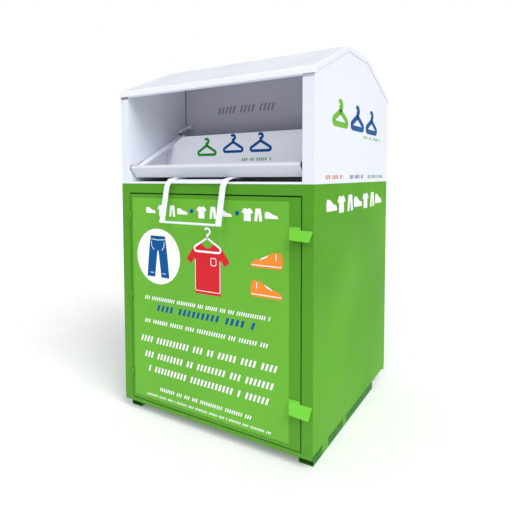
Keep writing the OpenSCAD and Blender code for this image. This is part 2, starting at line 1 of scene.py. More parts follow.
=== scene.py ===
# %% [markdown]
# # A clothing donation bin
# The bin is a box of folded and welded steel sheet on two skids. Bags go in at
# the top, onto a tray that tips, and a locked door at the front lets the
# collector empty it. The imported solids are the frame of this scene: each piece
# made here lies exactly where its solid lies, with the bends, worn edges, welds,
# print and paint that a solid leaves out. Every object could be modelled by hand
# in the viewport instead, but a script that reads its sizes from the solids
# keeps fitting them when they change.

# %% Load the frame
import json
import math

import bmesh
import bpy
import numpy as np
from mathutils import Matrix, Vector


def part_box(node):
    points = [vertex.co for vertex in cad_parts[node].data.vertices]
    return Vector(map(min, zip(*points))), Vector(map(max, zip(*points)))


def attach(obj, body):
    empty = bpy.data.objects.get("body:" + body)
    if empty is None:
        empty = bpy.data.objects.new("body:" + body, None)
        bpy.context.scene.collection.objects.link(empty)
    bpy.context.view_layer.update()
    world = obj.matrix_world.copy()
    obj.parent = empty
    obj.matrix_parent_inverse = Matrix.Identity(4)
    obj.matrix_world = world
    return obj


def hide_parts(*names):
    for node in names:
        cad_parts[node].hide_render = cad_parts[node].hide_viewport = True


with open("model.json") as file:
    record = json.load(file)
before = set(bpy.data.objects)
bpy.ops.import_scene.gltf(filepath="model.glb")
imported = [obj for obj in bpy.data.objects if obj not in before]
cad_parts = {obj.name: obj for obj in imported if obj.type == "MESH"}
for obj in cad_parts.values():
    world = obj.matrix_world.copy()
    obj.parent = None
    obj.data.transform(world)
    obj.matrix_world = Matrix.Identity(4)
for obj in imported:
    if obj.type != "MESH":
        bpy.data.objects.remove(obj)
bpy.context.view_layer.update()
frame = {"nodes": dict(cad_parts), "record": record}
nodes = frame["nodes"]
body_of = {n: b for b, ns in frame["record"]["behaviour"]["bodies"].items() for n in ns}

# %% [markdown]
# ## Camera
# A photograph's viewpoint can be found from a box whose corners are known. It
# could be matched by eye, with the picture behind the viewport, but a fit of
# the bin's corners is surer, and its result is written here as plain numbers. A
# small shift of the frame does what a cropped photograph needs.

# %% Camera
CAMERA_PLACE = (1.3721, -2.4814, 1.3326)
CAMERA_YAW, CAMERA_TILT, CAMERA_ROLL = 32.968, 86.772, -0.291
CAMERA_LENS, CAMERA_SENSOR, CAMERA_SHIFT = 33.05, 36.0, (0.0564, -0.1041)
CAMERA_NEAR, CAMERA_FAR = 0.05, 60.0

camera = bpy.data.objects.new("camera", bpy.data.cameras.new("camera"))
bpy.context.scene.collection.objects.link(camera)
bpy.context.scene.camera = camera
camera.data.lens, camera.data.sensor_width = CAMERA_LENS, CAMERA_SENSOR
camera.data.shift_x, camera.data.shift_y = CAMERA_SHIFT
camera.data.clip_start, camera.data.clip_end = CAMERA_NEAR, CAMERA_FAR
turns = [math.radians(a) for a in (CAMERA_YAW, CAMERA_TILT, CAMERA_ROLL)]
camera.matrix_world = (
    Matrix.Translation(CAMERA_PLACE)
    @ Matrix.Rotation(turns[0], 4, "Z")
    @ Matrix.Rotation(turns[1], 4, "X")
    @ Matrix.Rotation(turns[2], 4, "Z")
)
print("camera at", CAMERA_PLACE, "lens", CAMERA_LENS)

# %% [markdown]
# ## Sizes
# The main sizes below are read from the solids, so the scene follows them when
# they change. They could be typed in again, but then two files would have to
# agree. Depth is counted from the cabinet's front face towards the back.

# %% Sizes read from the solids
def low(node):
    """The lowest X, Y and Z of a solid."""
    return np.array(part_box(node)[0])


def high(node):
    """The highest X, Y and Z of a solid."""
    return np.array(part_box(node)[1])


def span(node):
    """The size of a solid along X, Y and Z."""
    return high(node) - low(node)


def neat(value):
    """A measure rounded to a tenth of a millimetre, for printing."""
    return np.round(value, 4).tolist()


def corners(node):
    """All corner points of a solid, as one array."""
    mesh = nodes[node].data
    points = np.empty(len(mesh.vertices) * 3)
    mesh.vertices.foreach_get("co", points)
    return points.reshape(-1, 3)


front = low("post_left")[1]
half_width = high("lower_side_right")[0]
open_half = low("post_right")[0]
cabinet_top = high("header")[2]
sheet = half_width - high("post_right")[0]
print("front face at y =", neat(front), "sheet", neat(sheet))

# %% [markdown]
# ## Mesh helpers
# Almost every piece is a sheet bent along straight lines. It could be extruded
# edge by edge in Edit Mode. Here it is drawn as a line in a plane, its corners
# are rounded, the line gets a thickness, and the result is carried along the
# third direction. All points are worked out as whole arrays, so a bend's radius
# is one number that can be changed at any time.

# %% Rounding, offsetting and filling
def unit(v):
    """Each vector divided by its own length."""
    return v / np.linalg.norm(v, axis=-1, keepdims=True)


def rounded(points, radius, steps=6):
    """A path with its inner corners rounded. Two runs that meet at the angle 2h
    touch a circle of radius r at the distance r / tan(h) from the corner, and
    its centre lies r / sin(h) from the corner on the line between the runs. The
    arc between the two touching points is a blend of the two radii by sines. A
    cut takes no more than 0.45 of a run, so two cuts on one run never meet."""
    p = np.asarray(points, float)
    before, corner, after = p[:-2], p[1:-1], p[2:]
    u, w = unit(before - corner), unit(after - corner)
    half = np.arccos(np.clip((u * w).sum(1), -1, 1)) / 2
    room = 0.45 * np.minimum(
        np.linalg.norm(before - corner, axis=1), np.linalg.norm(after - corner, axis=1)
    )
    cut = np.minimum(radius / np.tan(half), room)
    r = cut * np.tan(half)
    centre = corner + unit(u + w) * (r / np.sin(half))[:, None]
    turn = (math.pi - 2 * half)[:, None, None]
    t = np.linspace(0, 1, steps)[None, :, None]
    start, end = corner + u * cut[:, None] - centre, corner + w * cut[:, None] - centre
    arc = (np.sin((1 - t) * turn) * start[:, None] + np.sin(t * turn) * end[:, None]) / np.sin(turn)
    arcs = (centre[:, None] + arc).reshape(-1, p.shape[1])
    return np.vstack([p[:1], arcs, p[-1:]])


def offset(path, distance):
    """A flat path moved to its left: at each point along the sum of the left
    normals before and after it, divided by one plus their product."""
    d = unit(np.diff(path, axis=0))
    left = np.stack([-d[:, 1], d[:, 0]], 1)
    before, after = np.vstack([left[:1], left]), np.vstack([left, left[-1:]])
    return path + distance * (before + after) / (1 + (before * after).sum(1))[:, None]


def squares(rows, columns, wrap_rows=False, wrap_columns=False):
    """Corner numbers of the squares between the neighbours of a grid."""
    r = np.arange(rows - (not wrap_rows))[:, None]
    c = np.arange(columns - (not wrap_columns))[None, :]
    r1, c1 = (r + 1) % rows, (c + 1) % columns
    around = [r * columns + c, r * columns + c1, r1 * columns + c1, r1 * columns + c]
    return np.stack(np.broadcast_arrays(*around), -1).reshape(-1, 4)


def place(flat, axis, at):
    """Points of a plane put into space: the plane's two directions are the two
    that are left when X (0), Y (1) or Z (2) is taken out, and at is the third."""
    out = np.empty(flat.shape[:-1] + (3,))
    rest = [i for i in range(3) if i != axis]
    out[..., rest[0]], out[..., rest[1]], out[..., axis] = flat[..., 0], flat[..., 1], at
    return out


print("a rounded corner has", len(rounded([(0, 0), (1, 0), (1, 1)], 0.1)) - 2, "points")

# %% From arrays to a mesh
MERGE_NEW, MERGE_SOLID = 2e-6, 1e-6


def mesh_of(name, parts, outward=True):
    """One mesh from a list of (points, faces). Points closer than two
    thousandths of a millimetre become one, and the faces turn outwards."""
    mesh = bpy.data.meshes.new(name)
    points, faces, base = [], [], 0
    for p, f in parts:
        p = np.asarray(p, float).reshape(-1, 3)
        points.append(p)
        rows = f.tolist() if hasattr(f, "tolist") else f
        faces += [[i + base for i in face] for face in rows]
        base += len(p)
    mesh.from_pydata(np.vstack(points).tolist(), [], faces)
    bm = bmesh.new()
    bm.from_mesh(mesh)
    bmesh.ops.remove_doubles(bm, verts=bm.verts, dist=MERGE_NEW)
    if outward:
        bmesh.ops.recalc_face_normals(bm, faces=bm.faces)
    bm.to_mesh(mesh)
    bm.free()
    return mesh


def carried(loop, axis, start, end):
    """A closed flat loop carried from start to end along an axis, with both ends
    filled. The loop goes along a sheet's one face and back along the other, so
    point i faces point n-1-i and the ends are ladders of squares."""
    n = len(loop)
    grid = np.stack([place(loop, axis, start), place(loop, axis, end)])
    i = np.arange(n // 2 - 1)
    ladder = np.stack([i, i + 1, n - 2 - i, n - 1 - i], 1)
    faces = np.vstack([squares(2, n, wrap_columns=True), ladder, ladder + n])
    return grid, faces


def folded(path, radius, thick, axis, start, end):
    """A bent sheet: the path with rounded corners and its left offset, carried
    from start to end. A negative thickness lies to the path's right."""
    line = rounded(path, radius) if radius else np.asarray(path, float)
    return carried(np.vstack([line, offset(line, thick)[::-1]]), axis, start, end)


# %% Tubes and rods
def hollow(lo, hi, wall, radius, axis, steps=5):
    """A rectangular tube with rounded corners: an outer and an inner ring, each
    at both ends. A ring is the inset rectangle's corners plus radius times the
    cosine and sine of the angle round it."""
    lo, hi = np.asarray(lo, float), np.asarray(hi, float)
    rest = [i for i in range(3) if i != axis]
    middle, half = (lo + hi)[rest] / 2, (hi - lo)[rest] / 2
    angle = np.linspace(0, math.pi / 2, steps)[None, :] + np.arange(4)[:, None] * math.pi / 2
    sign = np.sign(np.stack([np.cos(angle.mean(1)), np.sin(angle.mean(1))], 1))

    def ring(inset, r):
        around = np.stack([np.cos(angle), np.sin(angle)], -1) * r
        return (middle + (sign * (half - inset - r))[:, None] + around).reshape(-1, 2)

    least_radius = 0.0004
    outer, inner = ring(0, radius), ring(wall, max(radius - wall, least_radius))
    grid = np.stack([
        place(outer, axis, lo[axis]), place(outer, axis, hi[axis]),
        place(inner, axis, hi[axis]), place(inner, axis, lo[axis]),
    ])
    return grid, squares(4, len(outer), True, True)


def rod(path, radius, across=(1, 0, 0), sides=16):
    """A round bar along a path: at each point a circle in the plane of the
    direction across and the path's normal. The radius may change on the way."""
    path = np.asarray(path, float)
    along = unit(np.gradient(path, axis=0))
    side = unit(np.cross(along, np.asarray(across, float)))
    up = unit(np.cross(side, along))
    a = np.linspace(0, 2 * math.pi, sides, endpoint=False)[None, :, None]
    r = np.broadcast_to(np.asarray(radius, float), (len(path),))[:, None, None]
    grid = path[:, None] + r * (np.cos(a) * side[:, None] + np.sin(a) * up[:, None])
    ends = [list(range(sides))[::-1], [i + (len(path) - 1) * sides for i in range(sides)]]
    return grid, squares(len(path), sides, wrap_columns=True).tolist() + ends


print("a rod of two rings has", len(rod([(0, 0, 0), (0, 0, 1)], 0.1)[1]), "faces")

# %% [markdown]
# ## Pieces
# A sharp computed edge catches no light, and no real sheet has one. The edges
# could be rounded in each mesh, but a Bevel modifier does it in one line and
# leaves the mesh readable. A Weighted Normal modifier after it keeps the flat
# faces flat to the eye, so only the small round shades from one to the next.

# %% From a mesh to a piece
SHARP_ANGLE, WORN_ANGLE, FLAT_ANGLE = math.radians(32), math.radians(34), math.radians(0.4)
made = {}


def piece(name, body, mesh, finish, stands_for=(), edge=0.0, steps=2, thick=0.0):
    """Links a mesh as a piece that rides on a body. Its edges over the worn
    angle get a round as wide as edge, and stands_for names the solids that it
    takes the place of."""
    item = bpy.data.objects.new(name, mesh)
    bpy.context.scene.collection.objects.link(item)
    mesh.materials.clear()
    mesh.materials.append(finish)
    mesh.polygons.foreach_set("use_smooth", np.ones(len(mesh.polygons), bool))
    mesh.set_sharp_from_angle(angle=SHARP_ANGLE)
    if thick:
        wall = item.modifiers.new("thickness", "SOLIDIFY")
        wall.thickness, wall.offset = thick, 0.0
    if edge:
        worn = item.modifiers.new("worn edges", "BEVEL")
        worn.width, worn.segments, worn.limit_method = edge, steps, "ANGLE"
        worn.angle_limit, worn.harden_normals = WORN_ANGLE, True
    even = item.modifiers.new("even shading", "WEIGHTED_NORMAL")
    even.keep_sharp, even.weight = True, 60
    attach(item, body)
    if stands_for:
        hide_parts(*stands_for)
    made[name] = item
    return item


def softened(*names, edge=0.0006, steps=2, finish=None):
    """Copies of solids: the loose triangles are merged, flat faces are joined,
    and edges get a small round. A copy keeps the solid's own finish unless
    another one is named."""
    for node in names:
        mesh = nodes[node].data.copy()
        bm = bmesh.new()
        bm.from_mesh(mesh)
        bmesh.ops.remove_doubles(bm, verts=bm.verts, dist=MERGE_SOLID)
        bmesh.ops.dissolve_limit(bm, angle_limit=FLAT_ANGLE, verts=bm.verts, edges=bm.edges)
        bm.to_mesh(mesh)
        bm.free()
        slot, body = slots[node], body_of[node]
        coat = paints[finish or slot]
        piece(node + "_finished", body, mesh, coat, (node,), edge, steps)


slots = {n: nodes[n].data.materials[0].name.split(".")[0] for n in nodes}
print("the solids use", len(set(slots.values())), "finishes")

# %% [markdown]
# ## Finishes
# The real bin is welded steel under a satin powder coat. A coat like that is
# never one flat colour: it has a fine orange-peel skin, the wide sheets bow a
# little, dust settles near the ground, and hands leave rub marks. These could be
# painted by hand as a texture. Here each one is a noise of its own scale, read
# from the object's own coordinates, so no unwrapping is needed and the marks
# stay put when a door or a tray moves.

# %% Colours
def linear(r, g, b):
    """Colour as seen on a screen (0 to 255) turned into light."""
    c = np.array([r, g, b]) / 255
    return tuple(np.where(c <= 0.04045, c / 12.92, ((c + 0.055) / 1.055) ** 2.4)) + (1.0,)


def shade(colour, by):
    """A colour made lighter or darker by a factor."""
    return tuple(min(1.0, c * by) for c in colour[:3]) + (1.0,)


DUST = linear(150, 142, 124)
print("dust as light:", [round(float(c), 3) for c in DUST[:3]])


# %% Short names for nodes
class Nodes:
    """A new material with short names for the few node kinds that the finishes
    are made of. Each of these returns a socket, so calls can be nested."""

    def __init__(self, name):
        self.material = bpy.data.materials.new(name)
        self.material.use_nodes = True
        self.tree = self.material.node_tree
        self.where = self.add("TexCoord", "Object", {})

    def put(self, node, values):
        """Sets inputs: a link from another node, or a plain number or colour."""
        for key, value in values.items():
            if hasattr(value, "is_output"):
                self.tree.links.new(value, node.inputs[key])
            else:
                node.inputs[key].default_value = value

    def add(self, kind, output, values, **settings):
        """A new node with its inputs set. Returns the named output."""
        node = self.tree.nodes.new("ShaderNode" + kind)
        for key, value in settings.items():
            setattr(node, key, value)
        self.put(node, values)
        return node.outputs[output]

    def surface(self, values):
        """Sets the shader's inputs. Returns the finished material."""
        self.put(self.tree.nodes["Principled BSDF"], values)
        return self.material

    def stretch(self, scale):
        """The object's coordinates, scaled along X, Y and Z."""
        return self.add("Mapping", "Vector", {"Vector": self.where, "Scale": scale})

    def noise(self, scale, detail=3.0, rough=0.55, at=None):
        """Soft noise from 0 to 1, with about scale waves in a metre."""
        values = {"Scale": scale, "Detail": detail, "Roughness": rough}
        return self.add("TexNoise", "Fac", {"Vector": at or self.where, **values})

    def spread(self, value, low_in, high_in, low_out=0.0, high_out=1.0):
        """A value moved from one range to another, with soft ends."""
        values = {"From Min": low_in, "From Max": high_in, "To Min": low_out, "To Max": high_out}
        settings = {"interpolation_type": "SMOOTHSTEP"}
        return self.add("MapRange", "Result", {"Value": value, **values}, **settings)

    def math(self, kind, a, b):
        return self.add("Math", "Value", {0: a, 1: b}, operation=kind)

    def mix(self, by, first, second):
        values = {"Factor": by, "A": first, "B": second}
        return self.add("Mix", "Result", values, data_type="RGBA")

    def height(self):
        """Metres above the ground."""
        return self.add("SeparateXYZ", "Z", {"Vector": self.where})

    def bump(self, value, distance, strength=1.0, under=None):
        """A height, in metres when it is 1, turned into a tilt of the surface."""
        values = {"Height": value, "Distance": distance, "Strength": strength}
        if under is not None:
            values["Normal"] = under
        return self.add("Bump", "Normal", values)


# %% Powder coat
def paint(name, colour, rough=0.36, dust=0.35, rubs=0.3, bow=0.0012, shine=0.12, fade=0.045):
    """Satin powder coat over sheet steel. It is up to fade darker in wide soft
    patches, as sun and rain leave it, with faint streaks, dust that fades out
    0.45 m up, and rub marks. Its skin is fine orange peel over bowed sheet."""
    n = Nodes(name)
    # patches and streaks
    tone = n.spread(n.noise(1.5, 3), 0.34, 0.66)
    base = n.mix(tone, shade(colour, 1 - fade), shade(colour, 1 + fade / 2))
    streak = n.noise(5.0, 4, at=n.stretch((9.0, 9.0, 0.8)))
    faded = n.math("MULTIPLY", n.spread(streak, 0.52, 0.75), 0.10)
    base = n.mix(faded, base, shade(colour, 1.25))
    # dust near the ground
    near_ground = n.spread(n.height(), 0.45, 0.03)
    speck = n.spread(n.noise(38.0, 6, 0.7), 0.42, 0.72)
    film = n.math("MULTIPLY", n.math("MULTIPLY", near_ground, speck), dust)
    base = n.mix(film, base, DUST)
    # rub marks, and the gloss that dust and rubs take away
    rub = n.spread(n.noise(14.0, 7, 0.75, at=n.stretch((1.0, 1.0, 2.6))), 0.60, 0.74)
    base = n.mix(n.math("MULTIPLY", rub, 0.10 * rubs), base, shade(colour, 0.6))
    gloss = n.math("ADD", n.spread(n.noise(6.0, 5), 0.3, 0.7, rough - 0.05, rough + 0.08),
                   n.math("MULTIPLY", rub, 0.15))
    # orange peel over the bowed sheet
    peel = n.bump(n.noise(520.0, 2), 0.00012, 0.35)
    return n.surface({
        "Base Color": base,
        "Roughness": n.math("ADD", gloss, n.math("MULTIPLY", film, 0.5)),
        "Normal": n.bump(n.noise(2.6, 1.0), bow * 4, 0.5, peel),
        "IOR": 1.45,
        "Specular IOR Level": shine,
    })


# %% Metal, rubber and ink
def bare_metal(name, colour, rough=0.34, spots=0.25):
    """Plated or turned metal: fine grain, cloudy roughness and dull spots."""
    n = Nodes(name)
    cloud = n.spread(n.noise(30.0, 5, 0.6), 0.3, 0.7)
    base = n.mix(cloud, shade(colour, 0.82), shade(colour, 1.05))
    spot = n.spread(n.noise(160.0, 4, 0.7), 0.58, 0.75)
    base = n.mix(n.math("MULTIPLY", spot, spots), base, shade(colour, 0.45))
    return n.surface({
        "Base Color": base,
        "Roughness": n.spread(cloud, 0.0, 1.0, rough + 0.12, rough - 0.06),
        "Normal": n.bump(n.noise(900.0, 3), 0.0001, 0.5),
        "Metallic": 1.0,
    })


def black_rubber(name):
    """Matt rubber with a greyish bloom and a grainy skin."""
    n = Nodes(name)
    bloom = n.spread(n.noise(45.0, 5, 0.7), 0.35, 0.75)
    return n.surface({
        "Base Color": n.mix(bloom, linear(22, 22, 24), linear(52, 52, 54)),
        "Roughness": n.spread(bloom, 0.0, 1.0, 0.62, 0.85),
        "Normal": n.bump(n.noise(1100.0, 3), 0.0002, 0.5),
    })


def printed(name, colour, rough=0.3):
    """Printed film: an even colour with a faint ink mottle and a smooth skin."""
    n = Nodes(name)
    mottle = n.spread(n.noise(90.0, 3), 0.3, 0.7)
    return n.surface({
        "Base Color": n.mix(mottle, shade(colour, 0.97), shade(colour, 1.03)),
        "Roughness": n.spread(n.noise(8.0, 4), 0.3, 0.7, rough - 0.04, rough + 0.08),
        "Normal": n.bump(n.noise(300.0, 2), 0.00005, 0.3),
        "Specular IOR Level": 0.12,
    })


# %% [markdown]
# ## One finish for each kind of sheet
# The greens differ a little on the real bin: the frame, the door's film and the sides each have
# their own tone, and the tray has its own white. The lock hoods' lighter green is a painted
# highlight on their sloping faces. The darker whites of the hood posts and the lip, the rear
# panel's grey, part of the skids' dark green, and the grey and black trim in the gaps are painted
# shade. One green and one white for all would look like moulded plastic, so each kind of sheet has
# its own colour and wear.

# %% The finishes
paints = {
    "frame_green": paint("frame_green_coat", linear(85, 153, 42), dust=0.2),
    "side_green": paint("side_green_coat", linear(95, 168, 40), 0.42, 0.25, shine=0.05, fade=0.13),
    # painted highlight: the frame's green made lighter, for the light on the lock hoods' sloping
    # faces
    "hood_green": paint("lock_hood_lit_green_coat", linear(118, 206, 66), dust=0.0, bow=0.0006),
    "sign_green": paint("sign_green_film", linear(108, 180, 58), 0.32, 0.12, 0.2, 0.0008),
    # partly painted shade: the skids' green made darker, for the shadow under the side panels
    "skid_green": paint("skid_green_coat", linear(45, 122, 38), 0.5, 0.3, 0.9),
    "white": paint("white_coat", linear(236, 240, 249), 0.34, 0.15, 0.25, fade=0.012),
    # painted shade: the white made a little darker, for the hood posts' front faces
    "post_white": paint(
        "hood_post_shaded_white_coat", linear(226, 231, 241), 0.34, 0.15, 0.25, fade=0.012
    ),
    "tray_white": paint(
        "tray_white_coat", linear(243, 245, 253), 0.38, 0.0, 0.8, 0.0008, fade=0.03
    ),
    # painted shade: the white made darker, for the shaded face of the tray's lip and its hems
    "lip_white": paint("lip_shaded_white_coat", linear(214, 216, 225), 0.38, 0.0, 0.8, 0.0008, fade=0.03),
    "recess_grey": paint("recess_white_coat", linear(234, 237, 248), 0.42, 0.0, 0.5),
    # painted shade: the recess white made darker and greyer, for the rear panel deep under the roof
    "baffle": paint("baffle_shaded_grey_coat", linear(205, 203, 216), 0.5, 0.0, 0.6),
    "zinc": bare_metal("zinc_plate", linear(190, 193, 197)),
    "brass": bare_metal("turned_brass", linear(206, 178, 110), 0.3),
    "rubber": black_rubber("black_rubber"),
    # painted shade: a dark grey bead for the gap in each rear corner of the recess
    "sealant": paint("corner_shade_grey_coat", linear(104, 104, 114), 0.7, 0.0, 0.2, 0.0),
    # painted shade: a mid grey strip for the gap between each hood post and the roof's lip
    "foam": paint("gap_shade_grey_coat", linear(160, 161, 170), 0.8, 0.0, 0.2, 0.0),
}
inks = {
    "white": printed("white_ink", linear(250, 252, 250)),
    "red": printed("red_ink", linear(212, 38, 48)),
    "rust": printed("rust_ink", linear(214, 104, 44)),
    "blue": printed("blue_ink", linear(0, 84, 150)),
    "orange": printed("orange_ink", linear(240, 142, 52)),
    "green": printed("green_ink", linear(40, 146, 48)),
    "leaf": printed("leaf_ink", linear(112, 188, 56)),
    "grey": printed("grey_ink", linear(150, 150, 158)),
}
for name, item in nodes.items():
    for spot in item.material_slots:
        spot.material = paints[slots[name]]
print(len(paints), "finishes and", len(inks), "inks")

# %% [markdown]
# ## Skids and floor
# The skids are rectangular tubes with round corners, cut square. The bin slides on them, so their
# coat is scratched. Their dark green is partly the skids' own colour and partly painted shade, for
# the shadow under the side panels. A bevelled box would round the cut ends too, so each tube is an
# outer and an inner ring, carried from end to end. What else is down here is flat or simply bent,
# and there a copy of the solid with softened edges is enough.

# %% Skids, cross members and floor
SKID_WALL, SKID_ROUND = 0.003, 0.007
for side in ("left", "right"):
    node = "skid_" + side
    tube = mesh_of(node, [hollow(low(node), high(node), SKID_WALL, SKID_ROUND, 1)])
    # the skids' dark green is partly painted shade
    piece(node + "_tube", "cabinet", tube, paints["skid_green"], (node,), edge=0.0004)
softened("cross_members", "skid_plates", "floor_pan")
print("skid tubes", neat(span("skid_left")))

# %% [markdown]
# ## Cabinet shell
# Posts, header and rail are sheets with folded returns. A press leaves a round
# of about one and a half sheets outside each fold, and the light runs along it,
# so these folds are worth a mesh of their own. The posts are folded sharper. A
# Bevel on a box could round a fold, but not with one radius outside and a
# smaller one inside.

# %% Side panels
for side in ("left", "right"):
    softened("lower_side_" + side, "hood_side_" + side, edge=0.0007)
print("cabinet", neat(2 * half_width), "wide")

# %% Posts, header and rail
FOLD, POST_FOLD, HEADER_RETURN = 0.0032, 0.0010, 0.025


def bent(node, path, thick, finish, axis=0, fold=FOLD, edge=0.0):
    """A bent sheet in a solid's place: its section's path, folded, and carried
    over the solid's own length along an axis."""
    a, b = low(node), high(node)
    mesh = mesh_of(node, [folded(path, fold, thick, axis, a[axis], b[axis])])
    piece(node + "_fold", "cabinet", mesh, paints[finish], (node,), edge)


for node, turn in (("post_left", -1), ("post_right", 1)):
    a, b = low(node), high(node)
    inner, outer = (b[0], a[0]) if turn < 0 else (a[0], b[0])
    path = [(inner, b[1]), (inner, a[1]), (outer, a[1])]
    bent(node, path, sheet * turn, "frame_green", axis=2, fold=POST_FOLD)

a, b = low("header"), high("header")
path = [(front + HEADER_RETURN, b[2]), (a[1], b[2]), (a[1], a[2]), (b[1], a[2])]
bent("header", path, sheet, "frame_green")
a, b = low("bottom_rail"), high("bottom_rail")
bent("bottom_rail", [(a[1], a[2]), (a[1], b[2]), (b[1], b[2])], -sheet, "frame_green")
softened("door_stops", "lower_back")
softened("door_seal", edge=0.001)
print("door opening", neat(2 * open_half), "wide")

# %% [markdown]
# ## Roof
# One sheet is folded over the hood: a lip, a slope, a flat top, a slope and a
# lip, with flanges down both ends that lap the side panels. It could be a plane
# folded by hand and mirrored. Here it is one grid of two parameters, so that
# the bends of the slopes run on into the flanges without a seam.

# %% Roof sheet
ROOF_BEND, FLANGE_BEND, FLANGE_ROUND, FLANGE_DEPTH = 0.012, 0.003, 0.004, 0.027
ON_LIMIT = 1e-4
roof_lo, roof_hi = low("roof"), high("roof")
roof_points = corners("roof")[:, 1:]


def edge_of(column, value):
    """The roof's corners that lie on one of the limits of its section."""
    return roof_points[np.abs(roof_points[:, column] - value) < ON_LIMIT]


front_lip, back_lip = edge_of(0, roof_lo[1])[:, 1], edge_of(0, roof_hi[1])[:, 1]
flat_top = edge_of(1, roof_hi[2])[:, 0]
roof_path = [
    (roof_lo[1], front_lip.min()),
    (roof_lo[1], front_lip.max()),
    (flat_top.min(), roof_hi[2]),
    (flat_top.max(), roof_hi[2]),
    (roof_hi[1], back_lip.max()),
    (roof_hi[1], back_lip.min()),
]


def roof_sheet(lap, depth):
    """A surface of two parameters: along the roof's section, and across from one
    flange over the top to the other. Between section and flange edge the point
    slides from the outer line to the same line set in by the flange's depth. The
    bend between top and flange is a quarter circle of radius lap."""
    outer = rounded(roof_path, ROOF_BEND)
    inner = rounded(offset(np.asarray(roof_path), -depth), FLANGE_BEND)
    half = roof_hi[0]
    turn = np.linspace(0, math.pi / 2, 5)
    x = np.concatenate([[half], half - lap * (1 - np.cos(turn))])
    drop = np.concatenate([[depth], lap * (1 - np.sin(turn))])
    x, drop = np.concatenate([x, -x[::-1]]), np.concatenate([drop, drop[::-1]])
    w = (drop / depth)[None, :, None]
    flat = outer[:, None] * (1 - w) + inner[:, None] * w
    grid = np.concatenate([np.broadcast_to(x[None, :, None], flat.shape[:2] + (1,)), flat], -1)
    return grid, squares(*grid.shape[:2])


mesh = mesh_of("roof_sheet", [roof_sheet(FLANGE_ROUND, FLANGE_DEPTH)])
roof = piece("roof_sheet", "cabinet", mesh, paints["white"], ("roof",))
wall = roof.modifiers.new("thickness", "SOLIDIFY")
wall.thickness, wall.offset, wall.use_even_offset = sheet, -1.0, True
roof.modifiers.move(len(roof.modifiers) - 1, 0)  # the shading is worked out after it
print("roof", len(mesh.polygons), "faces")

# %% [markdown]
# ## Hood front and recess
# The recess behind the chute is lined with sheet, so nobody can reach past it.
# Its lintel, shelf and rear panel are bent sheets like the door frame, so the same function makes
# them. The rear panel's grey is painted shade, a darker copy of the white, because soft studio
# light alone leaves the recess too even. The hood posts' slightly darker white is painted shade on
# their front faces.

# %% Hood front and recess
softened("hood_back", "recess_wall_left", "recess_wall_right", edge=0.0)
# the hood posts take the darker white, which is painted shade
softened("hood_post_left", "hood_post_right", edge=0.0, finish="post_white")
a, b = low("lintel"), high("lintel")
bent("lintel", [(a[1], b[2]), (a[1], a[2]), (b[1], a[2])], sheet, "white")
a, b = low("sill_shelf"), high("sill_shelf")
path = [(a[1], cabinet_top), (a[1], b[2]), (b[1], b[2]), (b[1], a[2])]
bent("sill_shelf", path, -sheet, "white")
a, b = low("baffle"), high("baffle")
path = [(a[1], b[2]), (a[1], a[2]), (b[1], a[2])]
# the rear panel takes the darker grey, which is painted shade
bent("baffle", path, sheet, "baffle", edge=0.0004)
softened("stop_bumpers", "pivot_bush_left", "pivot_bush_right", edge=0.0008)
baffle_face = low("baffle")[1]
print("recess", neat(baffle_face - front), "deep")

# %% [markdown]
# ## Small fittings of the hood
# Grey strips in the gaps between the hood posts and the roof's lip are painted shade, a lighter
# grey on the right. Two rods with rubber bumpers stop the tray, and dark grey beads in the upright
# corners behind it are painted shade for the gaps there. Such trim could be left to a texture, but
# it catches light and shadow when the view turns, so each piece is a short loop carried along a
# line or a rod along a path.

# %% Painted shade above the hood posts
GAP_STRIP_IN, GAP_STRIP_UP, GAP_STRIP_FRONT, GAP_STRIP_REAR = 0.001, 0.006, 0.0015, 0.006
for side, finish in (("left", "foam"), ("right", "baffle")):
    post = "hood_post_" + side
    x0, x1 = low(post)[0] + GAP_STRIP_IN, high(post)[0] - GAP_STRIP_IN
    z0, z1 = high(post)[2] - GAP_STRIP_IN, roof_lo[2] + GAP_STRIP_UP
    y0, y1 = front + GAP_STRIP_FRONT, front + GAP_STRIP_REAR
    loop = np.array([[y0, z0], [y0, z1], [y1, z1], [y1, z0]])
    mesh = mesh_of("foam", [carried(loop, 0, x0, x1)])
    # a grey strip as painted shade in the gap; the right one takes the rear panel's lighter grey
    piece("gap_shade_strip_" + side, "cabinet", mesh, paints[finish], (), edge=0.0008)
print("painted gap shade strips", neat(x1 - x0), "long")

